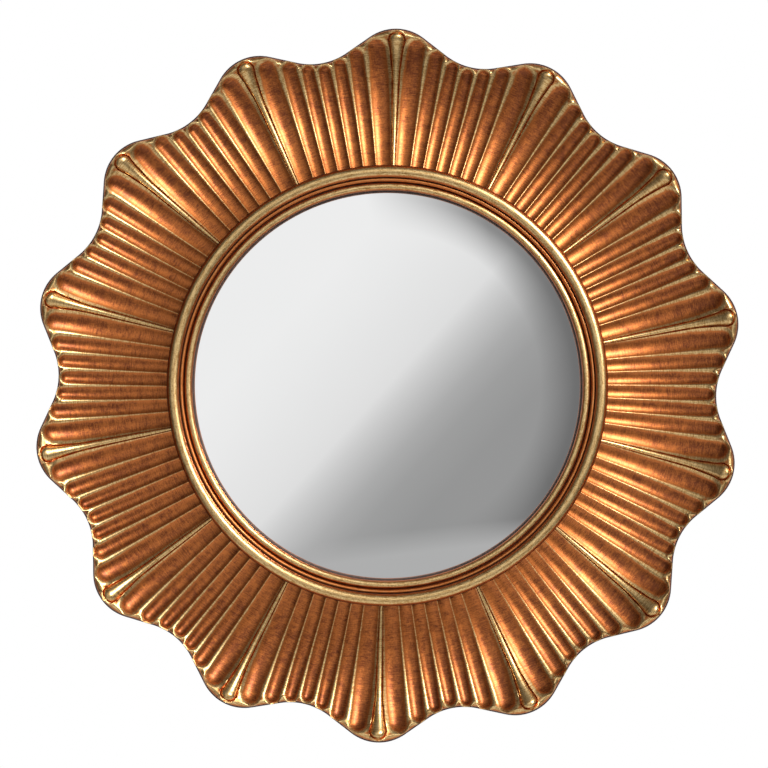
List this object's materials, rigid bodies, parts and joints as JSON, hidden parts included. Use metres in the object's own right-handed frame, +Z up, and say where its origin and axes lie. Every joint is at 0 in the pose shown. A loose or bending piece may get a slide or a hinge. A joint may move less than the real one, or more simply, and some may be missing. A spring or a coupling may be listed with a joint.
{
  "type": "convex butlers mirror",
  "caption": "Round convex wall mirror in a scalloped, fluted gilt frame with a reeded slip; swinging hanging bows and turning board buttons at the back",
  "frame": {"origin": "on the axis of the round glass, in the plane of the wall, where the bumpers' faces rest", "axes": "+Z up the wall, -Y out of the wall towards the viewer, +X to the viewer's right; one scallop points straight up"},
  "size_m": [0.4596, 0.0306, 0.47],
  "materials": {
    "gilding": "antique gold leaf rubbed back to red-brown ground, satin",
    "burnished_gold": "pale antique gold, satin",
    "silvered_glass": "polished silvered glass",
    "foam": "closed-cell foam",
    "hardboard": "smooth hardboard",
    "zinc_plate": "zinc-plated",
    "screw_steel": "zinc-plated",
    "brassed_steel": "brass-plated steel",
    "felt": "felt"
  },
  "bodies": {
    "frame": {"fluted_frame": "gilding", "reeded_slip": "burnished_gold", "mirror_glass": "silvered_glass", "glass_pads": "foam", "backing_board": "hardboard", "button_screws": "screw_steel", "hanger_strap_left": "brassed_steel", "hanger_strap_right": "brassed_steel", "hanger_screws": "brassed_steel", "wall_bumpers": "felt"},
    "button_1": {"turn_button_1": "zinc_plate"},
    "button_2": {"turn_button_2": "zinc_plate"},
    "button_3": {"turn_button_3": "zinc_plate"},
    "button_4": {"turn_button_4": "zinc_plate"},
    "button_5": {"turn_button_5": "zinc_plate"},
    "button_6": {"turn_button_6": "zinc_plate"},
    "ring_left": {"hanger_ring_left": "brassed_steel"},
    "ring_right": {"hanger_ring_right": "brassed_steel"}
  },
  "joints": [
    {"name": "button_1_turn", "type": "hinge", "parent": "frame", "child": "button_1", "pos_m": [0.1505, -0.0033, 0], "axis": [0, 1, 0], "continuous": true},
    {"name": "button_2_turn", "type": "hinge", "parent": "frame", "child": "button_2", "pos_m": [0.07525, -0.0033, 0.13034], "axis": [0, 1, 0], "continuous": true},
    {"name": "button_3_turn", "type": "hinge", "parent": "frame", "child": "button_3", "pos_m": [-0.07525, -0.0033, 0.13034], "axis": [0, 1, 0], "continuous": true},
    {"name": "button_4_turn", "type": "hinge", "parent": "frame", "child": "button_4", "pos_m": [-0.1505, -0.0033, 0], "axis": [0, 1, 0], "continuous": true},
    {"name": "button_5_turn", "type": "hinge", "parent": "frame", "child": "button_5", "pos_m": [-0.07525, -0.0033, -0.13034], "axis": [0, 1, 0], "continuous": true},
    {"name": "button_6_turn", "type": "hinge", "parent": "frame", "child": "button_6", "pos_m": [0.07525, -0.0033, -0.13034], "axis": [0, 1, 0], "continuous": true},
    {"name": "ring_left_swing", "type": "hinge", "parent": "frame", "child": "ring_left", "pos_m": [-0.158, -0.00204, 0.07], "axis": [0, 0, 1], "range_deg": [0, 175]},
    {"name": "ring_right_swing", "type": "hinge", "parent": "frame", "child": "ring_right", "pos_m": [0.158, -0.00204, 0.07], "axis": [0, 0, -1], "range_deg": [0, 175]}
  ]
}
